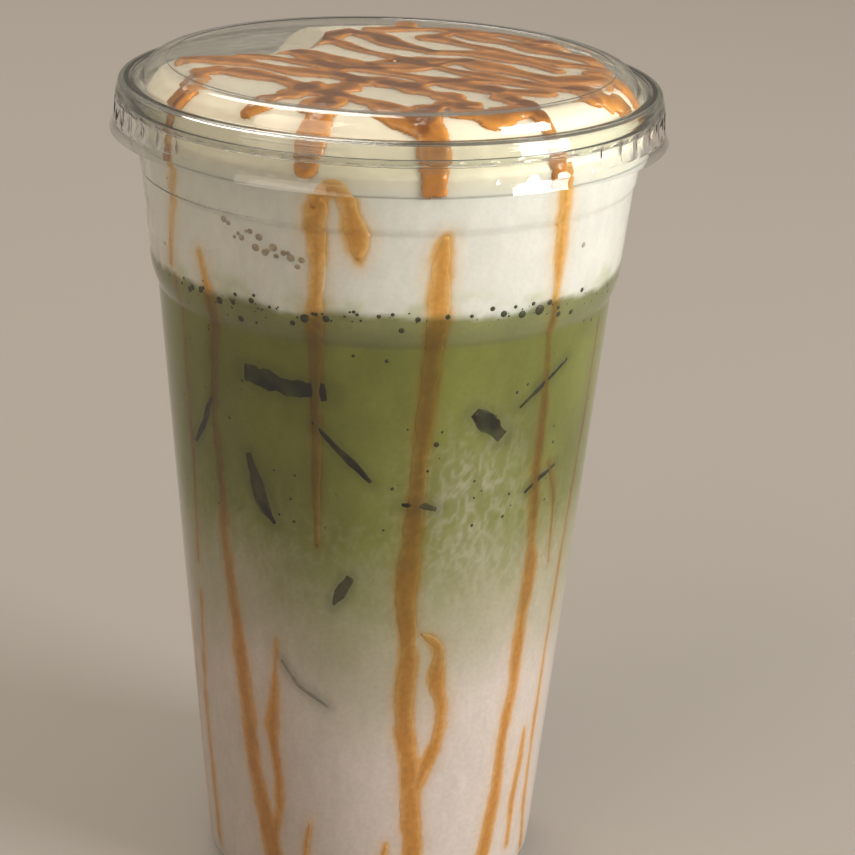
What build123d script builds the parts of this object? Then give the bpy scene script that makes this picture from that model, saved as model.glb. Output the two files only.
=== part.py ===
from build123d import *

import os

# A clear takeaway cup of iced matcha latte: milk, matcha, milk foam and cream in
# layers, under a raised clear lid. The origin is the middle of the ring that the
# cup stands on, and +Z is up. The pieces are turned about the Z axis, apart from
# the lid's lugs and the hollow on one side of the cream.

# ---- cup ----
CUP_WALL = 0.5
BASE_R = 32.4
WALL_TAPER = 0.0836  # growth of the lower wall's radius with height
FOOT_ROUND = 2.2
FOOT_RING = 2.6  # width of the flat ring under the base
PUNT_DEPTH = 2.2  # the middle of the base is pushed up by this
PUNT_RUN = 3.0
STEP_LOW_Z = 118.3  # the stacking shoulder bulges out from here
STEP_HIGH_Z = 124.7  # up to here
BAND_R = 43.8  # radius at the top of the shoulder
BAND_TAPER = 0.0977
BULGE = 0.5  # how far inside BAND_R the shoulder's middle lies
RING_Z = 139.1  # a small step in the wall, below the lid
RING_STEP = 0.3
RING_RISE = 0.8
ROLL_LOW_Z = 151.8
ROLL_TOP_Z = 155.2
ROLL_R = 49.0
ROLL_ROUND = 1.2

# ---- lid ----
LID_WALL = 0.45
SKIRT_LOW_R = 51.0
SKIRT_LOW_Z = 147.0
SKIRT_TOP_R = 49.75
LID_RIM_Z = 155.75
LID_ROUND = 1.1  # at the low corners of the lid's section
SLOPE_FOOT_R = 45.2  # the slope that carries the raised top starts here
PLATEAU_R = 43.9
PLATEAU_Z = 159.0
PLATEAU_ROUND = 3.6  # the raised top rolls over into its slope
LUGS = 56  # they snap under the cup's rolled rim
LUG_DEPTH = 1.3
LUG_ROOT = 0.22  # how far a lug goes into the skirt's wall
LUG_WIDTH = 2.6
LUG_HEIGHT = 2.2
LUG_Z = 150.2

# ---- drink ----
GAP = 0.05  # between the drink's curved faces and the shells
MILK_TOP_Z = 64.0
MATCHA_TOP_Z = 123.4
FOAM_TOP_Z = 146.0
CREAM_SIDE_Z = 149.0  # the cream leaves the wall here
CREAM_SHOULDER = (43.2, 154.4)
CREAM_TOP_R = 36.0
CREAM_TOP_Z = 158.45
HOLLOW_R = 22.0  # the cream sinks away from the lid on one side
HOLLOW_CENTRE = (-33.0, 22.0, 170.0)


def lower_r(z):
    return BASE_R + WALL_TAPER * z


def band_r(z):
    return BAND_R + BAND_TAPER * (z - STEP_HIGH_Z)


def spun(outline):
    """Turns a closed outline of radius and height once round the Z axis."""
    return revolve(Plane.XZ * make_face(outline), axis=Axis.Z)


def base_path():
    """Underside from the axis out to the wall: the punt, the ring, the rounded foot."""
    foot_r = lower_r(0) - FOOT_ROUND
    ring_r = foot_r - FOOT_RING
    flat = Polyline((0, PUNT_DEPTH), (ring_r - PUNT_RUN, PUNT_DEPTH), (ring_r, 0), (foot_r, 0))
    wall_start = (lower_r(FOOT_ROUND), FOOT_ROUND)
    foot = TangentArc((foot_r, 0), wall_start, tangent=(1, 0))
    return flat + foot


def side_path():
    """The wall from the foot up to the rolled rim."""
    low = (lower_r(STEP_LOW_Z), STEP_LOW_Z)
    middle = (BAND_R - BULGE, (STEP_LOW_Z + STEP_HIGH_Z) / 2)
    high = (BAND_R, STEP_HIGH_Z)
    ring = (band_r(RING_Z), RING_Z)
    above = (band_r(RING_Z + RING_RISE) + RING_STEP, RING_Z + RING_RISE)
    top = (band_r(ROLL_LOW_Z) + RING_STEP, ROLL_LOW_Z)
    lower = Line((lower_r(FOOT_ROUND), FOOT_ROUND), low)
    shoulder = ThreePointArc(low, middle, high)
    upper = Polyline(high, ring, above, top)
    return lower + shoulder + upper


def cup_path():
    return Wire(base_path().edges() + side_path().edges())


def wall_outline(path, thickness, side=Side.LEFT, closed=True):
    """The section of a shell: a path, and the same path moved to one side of it."""
    return offset(path, amount=thickness, side=side, closed=closed, kind=Kind.INTERSECTION)


def rolled_rim():
    """The curled edge of the cup, a rounded ring on top of the wall."""
    outer_low = (band_r(ROLL_LOW_Z) + RING_STEP, ROLL_LOW_Z)
    inner_r = outer_low[0] - CUP_WALL
    curl = FilletPolyline(
        outer_low,
        (ROLL_R, ROLL_LOW_Z),
        (ROLL_R, ROLL_TOP_Z),
        (inner_r, ROLL_TOP_Z),
        (inner_r, ROLL_LOW_Z),
        radius=ROLL_ROUND,
    )
    return spun(curl + Line((inner_r, ROLL_LOW_Z), outer_low))


def cup():
    return spun(wall_outline(cup_path(), CUP_WALL)) + rolled_rim()


def lid_path():
    """Outside of the lid from the axis out to the skirt's lower edge."""
    top = FilletPolyline(
        (0, PLATEAU_Z),
        (PLATEAU_R, PLATEAU_Z),
        (SLOPE_FOOT_R, LID_RIM_Z),
        (SKIRT_TOP_R, LID_RIM_Z),
        (SKIRT_LOW_R, SKIRT_LOW_Z),
        radius=(PLATEAU_ROUND, LID_ROUND, LID_ROUND),
    )
    return Wire(top.edges())


def lugs():
    """Small blocks round the inside of the skirt."""
    share = (LUG_Z - SKIRT_LOW_Z) / (LID_RIM_Z - SKIRT_LOW_Z)
    skirt_r = SKIRT_LOW_R + share * (SKIRT_TOP_R - SKIRT_LOW_R) - LID_WALL
    block = Box(LUG_DEPTH + LUG_ROOT, LUG_WIDTH, LUG_HEIGHT)
    places = PolarLocations(skirt_r + (LUG_ROOT - LUG_DEPTH) / 2, LUGS)
    return [place * Pos(0, 0, LUG_Z) * block for place in places]


def lid():
    return spun(wall_outline(lid_path(), LID_WALL, side=Side.RIGHT)) + lugs()


def inside():
    """What the cup holds when it is full to the top of the wall."""
    wall = wall_outline(cup_path(), CUP_WALL + GAP, closed=False)
    corners = wall.vertices().sort_by(Axis.Y)
    low = (0, PUNT_DEPTH + CUP_WALL + GAP)
    rim = corners[-1]
    high = (0, rim.Y)
    return spun(wall + Polyline((rim.X, rim.Y), high, low))


def slab(low_z, high_z):
    middle_z = (low_z + high_z) / 2
    return Pos(0, 0, middle_z) * Cylinder(SKIRT_LOW_R, high_z - low_z)


def layer(low_z, high_z):
    return inside() & slab(low_z, high_z)


def cream():
    """A mound pressed against the lid, sunk on one side."""
    side_r = band_r(CREAM_SIDE_Z) + RING_STEP - CUP_WALL - GAP
    mound = Spline((side_r, CREAM_SIDE_Z), CREAM_SHOULDER, (CREAM_TOP_R, CREAM_TOP_Z),
                   tangents=((0, 1), (-1, 0)))
    edges = Polyline((CREAM_TOP_R, CREAM_TOP_Z), (0, CREAM_TOP_Z), (0, FOAM_TOP_Z),
                     (side_r, FOAM_TOP_Z), (side_r, CREAM_SIDE_Z))
    hollow = Pos(*HOLLOW_CENTRE) * Sphere(HOLLOW_R)
    return (spun(mound + edges) & (layer(FOAM_TOP_Z, ROLL_LOW_Z) + slab(ROLL_LOW_Z, PLATEAU_Z))) - hollow


NODES = {
    "cup": cup,
    "lid": lid,
    "milk": lambda: layer(0, MILK_TOP_Z),
    "matcha": lambda: layer(MILK_TOP_Z, MATCHA_TOP_Z),
    "milk_foam": lambda: layer(MATCHA_TOP_Z, FOAM_TOP_Z),
    "cream": cream,
}

os.makedirs("parts", exist_ok=True)
for name, make in NODES.items():
    export_step(make(), f"parts/{name}.step")
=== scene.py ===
import math

import bmesh
import bpy
import numpy as np
from bpy.props import FloatProperty, FloatVectorProperty, IntProperty, PointerProperty
from mathutils import Matrix, Vector


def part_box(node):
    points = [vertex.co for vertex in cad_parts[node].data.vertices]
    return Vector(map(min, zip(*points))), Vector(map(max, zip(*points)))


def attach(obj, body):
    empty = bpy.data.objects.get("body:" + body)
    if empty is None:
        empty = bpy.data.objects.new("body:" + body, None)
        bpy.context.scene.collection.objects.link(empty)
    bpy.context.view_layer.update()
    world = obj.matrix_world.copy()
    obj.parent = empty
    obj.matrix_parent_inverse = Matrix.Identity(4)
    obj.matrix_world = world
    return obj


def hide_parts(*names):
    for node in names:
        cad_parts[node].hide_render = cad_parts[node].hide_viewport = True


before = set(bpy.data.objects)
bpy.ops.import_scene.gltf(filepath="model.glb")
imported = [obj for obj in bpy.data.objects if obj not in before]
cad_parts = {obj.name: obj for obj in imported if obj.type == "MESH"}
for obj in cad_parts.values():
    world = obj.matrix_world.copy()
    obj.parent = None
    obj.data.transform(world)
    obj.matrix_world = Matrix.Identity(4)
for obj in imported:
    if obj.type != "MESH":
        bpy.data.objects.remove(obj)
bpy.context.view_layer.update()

bl_info = {
    "name": "Iced matcha latte",
    "version": (1, 0, 0),
    "blender": (4, 5, 0),
    "location": "View3D > Sidebar > Latte",
    "description": "Builds a lidded clear cup of layered iced matcha latte with caramel",
    "category": "Object",
}

MM = 0.001
BODY = "root"


def box_mm(node):
    """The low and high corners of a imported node, in millimetres."""
    low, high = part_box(node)
    return [v / MM for v in low], [v / MM for v in high]


CUP_HIGH = box_mm("cup")[1]
LID_LOW, LID_HIGH = box_mm("lid")
MILK_LOW, MILK_HIGH = box_mm("milk")
MATCHA_HIGH = box_mm("matcha")[1]
FOAM_HIGH = box_mm("milk_foam")[1]
CREAM_HIGH = box_mm("cream")[1]

# ---- the cup's section, in millimetres ----
ROLL_R = CUP_HIGH[0]  # outside of the curled rim
ROLL_TOP = CUP_HIGH[2]
ROLL_LOW = ROLL_TOP - 3.4
WALL_IN = 0.55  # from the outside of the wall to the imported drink
DRINK_IN = 0.38  # from the outside of the wall to the drink built here
TAPER = 0.0836  # radius gained with each millimetre of height under the shoulder
MILK_TOP = MILK_HIGH[2]
FOOT_R = MILK_HIGH[0] + WALL_IN - TAPER * MILK_TOP
FOOT_ROUND = 2.2
PUNT = 2.2  # how far the base is pushed up
MATCHA_TOP = MATCHA_HIGH[2]
STEP_LOW = MATCHA_TOP - 5.1  # lower crease of the stacking shoulder
STEP_HIGH = MATCHA_TOP + 1.3  # upper crease
BAND_R = 43.8  # outside radius at the upper crease
BAND_TAPER = 0.0977  # radius gained with each millimetre over the shoulder
RING_Z = 139.1  # small ring step under the rim
RING_STEP = 0.3
FOAM_TOP = FOAM_HIGH[2]
CREAM_TOP = CREAM_HIGH[2] - 0.55  # leaves room for the caramel under the lid
LID_TOP = LID_HIGH[2]
LID_R = LID_HIGH[0]
LID_LOW_Z = LID_LOW[2]


# ---------------------------------------------------------------- small tools
def linear(text):
    """An sRGB hex colour as linear RGBA."""
    parts = [int(text[i : i + 2], 16) / 255 for i in (1, 3, 5)]
    curve = [c / 12.92 if c <= 0.04045 else ((c + 0.055) / 1.055) ** 2.4 for c in parts]
    return (*curve, 1.0)


def shade(name, text, description):
    """A colour setting that starts from an sRGB hex value."""
    return FloatVectorProperty(
        name=name,
        description=description,
        subtype="COLOR",
        size=3,
        min=0,
        max=1,
        default=linear(text)[:3],
    )


def smooth(low, high, value):
    """A soft step from 0 at low to 1 at high."""
    t = np.clip((value - low) / (high - low), 0.0, 1.0)
    return t * t * (3 - 2 * t)


def mixed(a, b, share):
    """Colours a and b blended by share, row by row."""
    share = np.asarray(share)[..., None]
    return a * (1 - share) + b * share


def lattice(cells, seed):
    """A fixed value from 0 to 1 for each whole-number cell; the large numbers only scatter its bits."""
    h = cells[..., 0] * 374761393 + cells[..., 1] * 668265263 + cells[..., 2] * 1274126177
    h = (h + seed * 362437) & 0xFFFFFFFF
    h = ((h ^ (h >> 13)) * 1103515245) & 0xFFFFFFFF
    h = ((h ^ (h >> 16)) * 2246822519) & 0xFFFFFFFF
    return (h ^ (h >> 15)) / 0xFFFFFFFF


def noise(points, size, seed):
    """Smooth noise from -1 to 1, with lumps of the given size in the points' unit; each seed is a pattern."""
    p = points / np.asarray(size)
    cell = np.floor(p).astype(np.int64)
    f = p - cell
    f = f * f * f * (f * (f * 6 - 15) + 10)
    total = np.zeros(len(points))
    for corner in range(8):
        step = np.array([corner & 1, corner >> 1 & 1, corner >> 2])
        weight = np.prod(np.where(step, f, 1 - f), axis=1)
        total += weight * lattice(cell + step, seed)
    return total * 2 - 1


def layered(points, size, seed, octaves=3):
    """Noise with finer and weaker copies added."""
    total = np.zeros(len(points))
    for i in range(octaves):
        total += noise(points, np.asarray(size) / 2**i, seed + 17 * i) / 2**i
    return total / (2 - 2 ** (1 - octaves))


def rounded(corners, radius, steps=6):
    """An open outline whose corners are arcs of the given radius, one for all or one each."""
    corners = [np.array(c, float) for c in corners]
    radii = radius if isinstance(radius, (list, tuple)) else [radius] * (len(corners) - 2)
    path = [corners[0]]
    for a, b, c, r in zip(corners, corners[1:], corners[2:], radii):
        u, v = (a - b) / np.linalg.norm(a - b), (c - b) / np.linalg.norm(c - b)
        half = math.acos(float(np.clip(u @ v, -1, 1))) / 2
        reach = r / math.tan(half)
        centre = b + (u + v) / np.linalg.norm(u + v) * r / math.sin(half)
        start, end = b + u * reach - centre, b + v * reach - centre
        turn = math.atan2(start[0] * end[1] - start[1] * end[0], float(start @ end))
        for k in range(steps + 1):
            angle = turn * k / steps
            s, q = math.sin(angle), math.cos(angle)
            path.append(centre + np.array([q * start[0] - s * start[1], s * start[0] + q * start[1]]))
    path.append(corners[-1])
    return np.array(path)


def resampled(path, spacing):
    """Extra points on the long runs of an outline."""
    out = [path[0]]
    for a, b in zip(path, path[1:]):
        count = max(1, int(np.linalg.norm(b - a) / spacing))
        out += [a + (b - a) * (k + 1) / count for k in range(count)]
    return np.array(out)


def normals_of(path):
    """Unit normals on the left of an outline."""
    d = np.gradient(path, axis=0)
    d /= np.linalg.norm(d, axis=1)[:, None]
    return np.stack([-d[:, 1], d[:, 0]], axis=1)


def angles(columns):
    """Angles round the cup: 0 is the front, and they grow towards +X."""
    return np.arange(columns) * 2 * math.pi / columns


def turned(radius, height, columns):
    """Rings of points, (rows, columns, 3), for radii and heights by row, or by row and column."""
    a = angles(columns)[None, :]
    r = np.broadcast_to(np.asarray(radius).reshape(len(radius), -1), (len(radius), columns))
    z = np.broadcast_to(np.asarray(height).reshape(len(height), -1), (len(height), columns))
    return np.stack([r * np.sin(a), -r * np.cos(a), z], axis=2)


def face_out(mesh):
    """Turns every face of a closed mesh outwards."""
    work = bmesh.new()
    work.from_mesh(mesh)
    bmesh.ops.recalc_face_normals(work, faces=work.faces)
    work.to_mesh(mesh)
    work.free()


def new_piece(name, points, faces, material, replaced=None, colours=None, flat=0):
    """A mesh from points in millimetres that rides on the cup's body.

    The last faces, as many as flat says, are shaded flat, as caps are.
    """
    mesh = bpy.data.meshes.new(name)
    mesh.from_pydata((np.asarray(points) * MM).tolist(), [], faces)
    face_out(mesh)
    count = len(mesh.polygons)
    mesh.polygons.foreach_set("use_smooth", [i < count - flat for i in range(count)])
    if colours is not None:
        tint = mesh.color_attributes.new("tint", "FLOAT_COLOR", "POINT")
        full = np.concatenate([colours, np.ones((len(colours), 1))], axis=1)
        tint.data.foreach_set("color", full.astype(np.float32).ravel())
    piece = bpy.data.objects.new(name, mesh)
    bpy.context.collection.objects.link(piece)
    mesh.materials.append(material)
    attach(piece, BODY)
    if replaced:
        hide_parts(replaced)
    return piece


def ring_faces(rows, columns, wrap_rows=False):
    """Quads between neighbouring rings, as a list of index tuples."""
    r = np.arange(rows if wrap_rows else rows - 1)
    c = np.arange(columns)
    a = r[:, None] * columns + c
    b = r[:, None] * columns + (c + 1) % columns
    d = ((r[:, None] + 1) % rows) * columns + c
    e = ((r[:, None] + 1) % rows) * columns + (c + 1) % columns
    return np.stack([a, b, e, d], axis=2).reshape(-1, 4).tolist()


def closed_lathe(grid):
    """Points and faces of rings whose first and last are closed by a fan to the axis."""
    rows, columns = grid.shape[:2]
    points = np.concatenate([grid.reshape(-1, 3), [grid[0].mean(axis=0)], [grid[-1].mean(axis=0)]])
    faces = ring_faces(rows, columns)
    low, high = rows * columns, rows * columns + 1
    last = (rows - 1) * columns
    faces += [[(c + 1) % columns, c, low] for c in range(columns)]
    faces += [[last + c, last + (c + 1) % columns, high] for c in range(columns)]
    return points, faces


# ---------------------------------------------------------------- the cup's radius
def shoulder_r(z):
    """Outside of the bulging shoulder between its two creases."""
    t = np.clip((z - STEP_LOW) / (STEP_HIGH - STEP_LOW), 0, 1)
    low = FOOT_R + TAPER * STEP_LOW
    return low + (BAND_R - low) * (1 - (1 - t) ** 2.1)


def wall_r(z):
    """Outside radius of the cup's wall at a height."""
    z = np.asarray(z, float)
    lower = FOOT_R + TAPER * z
    band = BAND_R + BAND_TAPER * (z - STEP_HIGH) + RING_STEP * smooth(RING_Z, RING_Z + 0.8, z)
    return np.where(z < STEP_LOW, lower, np.where(z < STEP_HIGH, shoulder_r(z), band))


def drink_r(z):
    """The drink's radius: it reaches a little into the wall, so that no air shows between them."""
    return wall_r(z) - DRINK_IN


def bump_at(angle, centre, width):
    """A soft bell over the angle in degrees, from 0 to 1, that wraps round the cup."""
    away = (angle - centre + 180) % 360 - 180
    return np.exp(-((away / width) ** 2))


def pull_in(angle, z):
    """How far the foam stands clear of the flared wall: most on one side, and nothing on the other."""
    most, clear_side, spread = 2.0, -82, 34
    return most * bump_at(angle, clear_side, spread) * smooth(125.5, 146, z) * (1 - smooth(149, 153.5, z))


# ---------------------------------------------------------------- nodes
def node(tree, kind, inputs=None, **settings):
    """Adds a shader node; an input is a value or another node's output socket."""
    made = tree.nodes.new(kind)
    for key, value in settings.items():
        setattr(made, key, value)
    for key, value in (inputs or {}).items():
        socket = made.inputs[key]
        if isinstance(value, bpy.types.NodeSocket):
            tree.links.new(value, socket)
        else:
            socket.default_value = value
    return made


def new_material(name):
    """An empty material and its node tree."""
    material = bpy.data.materials.new(name)
    material.use_nodes = True
    material.node_tree.nodes.clear()
    return material, material.node_tree


def finish_material(tree, surface):
    """Sends a surface to the material's output."""
    node(tree, "ShaderNodeOutputMaterial", {"Surface": surface})


def moulded_pet(name, tint, roughness):
    """Clear PET sheet, drawn warm into a mould."""
    # The polished sheet gives the eye small sharp glints on rim, creases and lugs, and
    # almost nothing between them; the drawing leaves faint waves that bend those glints.
    wave_mm = 9.0
    wave_depth_mm = 0.25
    material, tree = new_material(name)
    place = node(tree, "ShaderNodeTexCoord").outputs["Object"]
    waves = node(tree, "ShaderNodeTexNoise", {"Vector": place, "Scale": 1 / (wave_mm * MM), "Detail": 2.0})
    bump = node(
        tree,
        "ShaderNodeBump",
        {"Height": waves.outputs["Fac"], "Strength": 0.12, "Distance": wave_depth_mm * MM},
    )
    plastic = node(
        tree,
        "ShaderNodeBsdfPrincipled",
        {
            "Base Color": (*tint, 1.0),
            "Roughness": roughness,
            "IOR": 1.57,
            "Transmission Weight": 1.0,
            "Normal": bump.outputs["Normal"],
        },
    )
    # Lamps light the drink through the sheet as if it only dimmed them a little.
    clear = node(tree, "ShaderNodeBsdfTransparent", {"Color": linear("#f4f5f3")})
    path = node(tree, "ShaderNodeLightPath")
    both = node(
        tree,
        "ShaderNodeMixShader",
        {
            "Fac": path.outputs["Is Shadow Ray"],
            1: plastic.outputs["BSDF"],
            2: clear.outputs["BSDF"],
        },
    )
    finish_material(tree, both.outputs["Shader"])
    return material


def painted_food(name, roughness, grain_mm, grain, bump_mm, specular=0.3, soft=0.0, soft_mm=1.0):
    """Food whose broad colours lie in the mesh, with a grain of one size in colour and relief added."""
    material, tree = new_material(name)
    place = node(tree, "ShaderNodeTexCoord").outputs["Object"]
    tint = node(tree, "ShaderNodeVertexColor", layer_name="tint").outputs["Color"]
    scale = 1 / (grain_mm * MM)
    speckle = node(tree, "ShaderNodeTexNoise", {"Vector": place, "Scale": scale, "Detail": 3.0})
    spread = node(
        tree,
        "ShaderNodeMapRange",
        {
            "Value": speckle.outputs["Fac"],
            "From Min": 0.3,
            "From Max": 0.7,
            "To Min": 1 - grain,
            "To Max": 1 + grain,
        },
    )
    colour = node(
        tree,
        "ShaderNodeVectorMath",
        {0: tint, "Scale": spread.outputs["Result"]},
        operation="SCALE",
    )
    bump = node(
        tree,
        "ShaderNodeBump",
        {"Height": speckle.outputs["Fac"], "Strength": 0.5, "Distance": bump_mm * MM},
    )
    food = node(
        tree,
        "ShaderNodeBsdfPrincipled",
        {
            "Base Color": colour.outputs["Vector"],
            "Roughness": roughness,
            "Specular IOR Level": specular,
            "Subsurface Weight": soft,
            "Subsurface Radius": (1.0, 0.8, 0.6),
            "Subsurface Scale": soft_mm * MM,
            "Normal": bump.outputs["Normal"],
        },
    )
    finish_material(tree, food.outputs["BSDF"])
    return material


# ---------------------------------------------------------------- settings
class LatteCup(bpy.types.PropertyGroup):
    """Settings of the cup."""

    wall: FloatProperty(
        name="Wall",
        description="Thickness of the cup's wall in millimetres",
        default=0.5,
        min=0.3,
        max=1.0,
    )
    tint: shade("Tint", "#fbfcfa", "Colour of the clear plastic")
    columns: IntProperty(name="Columns", description="Faces round the cup", default=240, min=64)


class LatteLid(bpy.types.PropertyGroup):
    """Settings of the lid."""

    wall: FloatProperty(
        name="Wall",
        description="Thickness of the lid in millimetres",
        default=0.45,
        min=0.3,
        max=1.0,
    )
    tint: shade("Tint", "#fcfcfb", "Colour of the clear plastic")
    lugs: IntProperty(name="Lugs", description="Lugs round the skirt", default=56, min=8)


class LatteDrink(bpy.types.PropertyGroup):
    """Settings of the milk, the matcha, the foam, the cream and what lies in them."""

    columns: IntProperty(name="Columns", description="Faces round the drink", default=480, min=64)
    cream_columns: IntProperty(name="Cream columns", description="Faces round the cream", default=420, min=64)
    milk: shade("Milk", "#d2c6bf", "Sweetened milk at the bottom")
    matcha: shade("Matcha", "#82853c", "Green layer")
    matcha_deep: shade("Deep matcha", "#6c6f2e", "Where the green is thickest")
    foam: shade("Milk foam", "#e4e2dc", "White layer over the matcha")
    # The ice colour is painted shade: the unlit depth of the drink seen through clear ice.
    ice: shade("Ice", "#14170a", "Ice seen through the green layer")
    fleck: shade("Fleck", "#34381a", "Specks of matcha powder")
    # The pit colour is painted shade, the dark inside the hollows of burst bubbles.
    pit_shade: shade("Pit", "#a89a86", "Burst bubbles in the foam")
    cream: shade("Cream", "#f0e6d0", "Mound under the lid")


class LatteCaramel(bpy.types.PropertyGroup):
    """Settings of the caramel on the cream."""

    thin: shade("Thin", "#d68f3c", "Caramel where it is thin")
    thick: shade("Thick", "#7f4818", "Caramel where it is thick")
    height: FloatProperty(
        name="Height",
        description="Thickness of a single strand in millimetres",
        default=1.1,
    )


def watts(name, description, power):
    """A lamp's power setting."""
    return FloatProperty(name=name, description=description, default=power, unit="POWER")


class LatteStage(bpy.types.PropertyGroup):
    """Settings of the floor and the lamps."""

    floor: shade("Floor", "#a5a19b", "Colour of the floor")
    key: watts("Key light", "Power of the main lamp in watts", 16.5)
    bounce: watts("Bounce", "Power of the soft lamp on the left in watts", 5.0)
    rear: watts("Rear", "Power of the soft lamp behind in watts", 6.0)
    fill: FloatProperty(name="Fill", description="Strength of the light from all round", default=0.75)


# ---------------------------------------------------------------- cup and lid
def cup_path():
    """Outside of the cup, from the middle of the base to the end of the curled rim."""
    foot_r = wall_r(0.0) - FOOT_ROUND
    ring_r = foot_r - 2.6
    base = rounded(
        [
            (0.05, PUNT),
            (ring_r - 3.0, PUNT),
            (ring_r, 0),
            (foot_r + FOOT_ROUND - 0.1, 0),
            (wall_r(6.0), 6.0),
        ],
        [1.0, 0.6, FOOT_ROUND - 0.3],
    )
    heights = np.concatenate(
        [
            np.linspace(7, STEP_LOW - 0.6, 56),
            np.linspace(STEP_LOW - 0.25, STEP_HIGH + 0.4, 22),
            np.linspace(STEP_HIGH + 1.2, RING_Z - 0.4, 8),
            np.linspace(RING_Z - 0.1, RING_Z + 1.0, 8),
            np.linspace(RING_Z + 2.0, ROLL_LOW + 0.2, 6),
        ]
    )
    wall = np.stack([wall_r(heights), heights], axis=1)
    neck = float(wall_r(ROLL_LOW))
    curl = rounded(
        [
            (neck + 0.05, ROLL_LOW + 0.6),
            (neck + 0.15, ROLL_TOP),
            (ROLL_R, ROLL_TOP),
            (ROLL_R, ROLL_LOW),
            (neck + 0.75, ROLL_LOW),
            (neck + 0.75, ROLL_LOW + 1.0),
        ],
        [1.1, 1.25, 1.25, 0.3],
        steps=8,
    )
    return np.concatenate([resampled(base, 3.0), wall, curl])


def sheet_section(path, thickness, lip=0.0):
    """Closed section of a thin sheet: an outline and its copy on the left, thinner over a lip."""
    hold = 0.04  # a point this close to the start keeps the edge's shading off the wall
    first = (path[1] - path[0]) / np.linalg.norm(path[1] - path[0])
    path = np.insert(path, 1, path[0] + hold * first, axis=0)
    steps = np.linalg.norm(np.diff(path, axis=0), axis=1)
    along = np.concatenate([[0], np.cumsum(steps)])
    thin = 0.2 + 0.8 * smooth(0, lip, along) if lip else np.ones(len(path))
    inner = path + normals_of(path) * (thickness * thin)[:, None]
    # An end at the axis keeps its radius, so that the sheet stays level there.
    for end in (0, -1):
        if path[end][0] < 1:
            inner[end][0] = path[end][0]
    return np.concatenate([path, inner[::-1]])


class LATTE_OT_cup(bpy.types.Operator):
    """Builds the clear cup with its stacking shoulder and curled rim."""

    bl_idname = "latte.cup"
    bl_label = "Cup"

    def execute(self, context):
        settings = context.scene.latte_cup
        section = sheet_section(cup_path(), settings.wall)
        grid = turned(section[:, 0], section[:, 1], settings.columns)
        material = moulded_pet("Clear PET, thermoformed cup", settings.tint, 0.03)
        faces = ring_faces(len(section), settings.columns, wrap_rows=True)
        new_piece("clear_cup", grid.reshape(-1, 3), faces, material, "cup")
        return {"FINISHED"}


def lid_path():
    """Outside of the lid, from the skirt's lower edge up and in to the axis."""
    rim_z = ROLL_TOP + 0.55
    corners = [
        (LID_R - 0.15, LID_LOW_Z),
        (LID_R - 0.9, LID_LOW_Z + 1.6),
        (LID_R - 1.2, LID_LOW_Z + 6.2),
        (LID_R - 1.9, rim_z),
        (LID_R - 4.1, rim_z),
        (LID_R - 4.7, rim_z - 0.35),
        (LID_R - 5.8, rim_z - 0.35),
        (LID_R - 7.1, LID_TOP),
        (LID_R - 10.4, LID_TOP),
        (LID_R - 11.4, LID_TOP - 0.25),
        (0.05, LID_TOP - 0.3),
    ]
    radii = [1.6, 1.6, 0.9, 0.5, 0.4, 0.7, 3.4, 0.5, 0.5]
    return resampled(rounded(corners, radii, steps=7), 2.0)


def lug_depth(section, columns, lugs):
    """How far each point of the skirt is pressed in, by row and column."""
    pressed_in = 0.75
    z = section[:, 1][:, None]
    r = section[:, 0][:, None]
    over_edge = smooth(LID_LOW_Z + 1.8, LID_LOW_Z + 2.6, z)
    under_bend = 1 - smooth(LID_LOW_Z + 5.0, LID_LOW_Z + 5.8, z)
    height = over_edge * under_bend
    on_skirt = (r > LID_R - 2.6).astype(float)
    turn = (np.arange(columns) * lugs / columns) % 1.0
    across = smooth(0.18, 0.28, turn) * (1 - smooth(0.72, 0.82, turn))
    return pressed_in * height * on_skirt * across[None, :]


class LATTE_OT_lid(bpy.types.Operator):
    """Builds the clear raised lid with its lugged skirt."""

    bl_idname = "latte.lid"
    bl_label = "Lid"

    def execute(self, context):
        settings = context.scene.latte_lid
        columns_per_lug = 8
        columns = settings.lugs * columns_per_lug
        section = sheet_section(lid_path(), settings.wall, lip=2.2)
        radius = section[:, 0][:, None] - lug_depth(section, columns, settings.lugs)
        grid = turned(radius, section[:, 1], columns)
        material = moulded_pet("Clear PET, thermoformed lid", settings.tint, 0.03)
        faces = ring_faces(len(section), columns, wrap_rows=True)
        new_piece("clear_lid", grid.reshape(-1, 3), faces, material, "lid")
        return {"FINISHED"}


# ---------------------------------------------------------------- the drink's colours
def polar(points):
    """Angle in degrees from the front, and radius, of points in millimetres."""
    return np.degrees(np.arctan2(points[:, 0], -points[:, 1])), np.hypot(points[:, 0], points[:, 1])


def green_share(points):
    """How much of the colour is matcha: 0 in the milk, 1 in the green layer."""
    angle, _ = polar(points)
    z = points[:, 2]
    # The green starts and is full at heights that change round the cup and drift in clouds.
    drift = 5.0 * layered(points, (16, 16, 20), 3) + 2.4 * layered(points, (5, 5, 7), 11)
    start = 41 - 5 * bump_at(angle, -4, 20) + 9 * bump_at(angle, -38, 18) + 7 * bump_at(angle, 45, 16)
    start = start + 6 * bump_at(angle, 150, 40)
    full = 83 - 5 * bump_at(angle, -10, 18)
    share = np.clip((z + drift - start) / (full - start), 0, 1)
    share = share**1.15
    # Fine strands of milk hang in the green in two places.
    warp = 1.6 * np.stack([layered(points, 5.0, seed) for seed in (91, 93, 95)], axis=1)
    strands = 1 - np.abs(layered(points + warp, (1.7, 1.7, 4.6), 23, 4)) * 3.2
    wisps = np.clip(strands, 0, 1) ** 1.5
    high_place = bump_at(angle, 25, 15) * np.exp(-(((z - 90) / 12) ** 2))
    place = high_place + 0.35 * np.exp(-(((z - 76) / 12) ** 2))
    return np.clip(share - 0.34 * place * wisps - 0.10 * place, 0, 1)


MM_PER_DEGREE = 0.7  # along the wall, at the drink's mean radius

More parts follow.
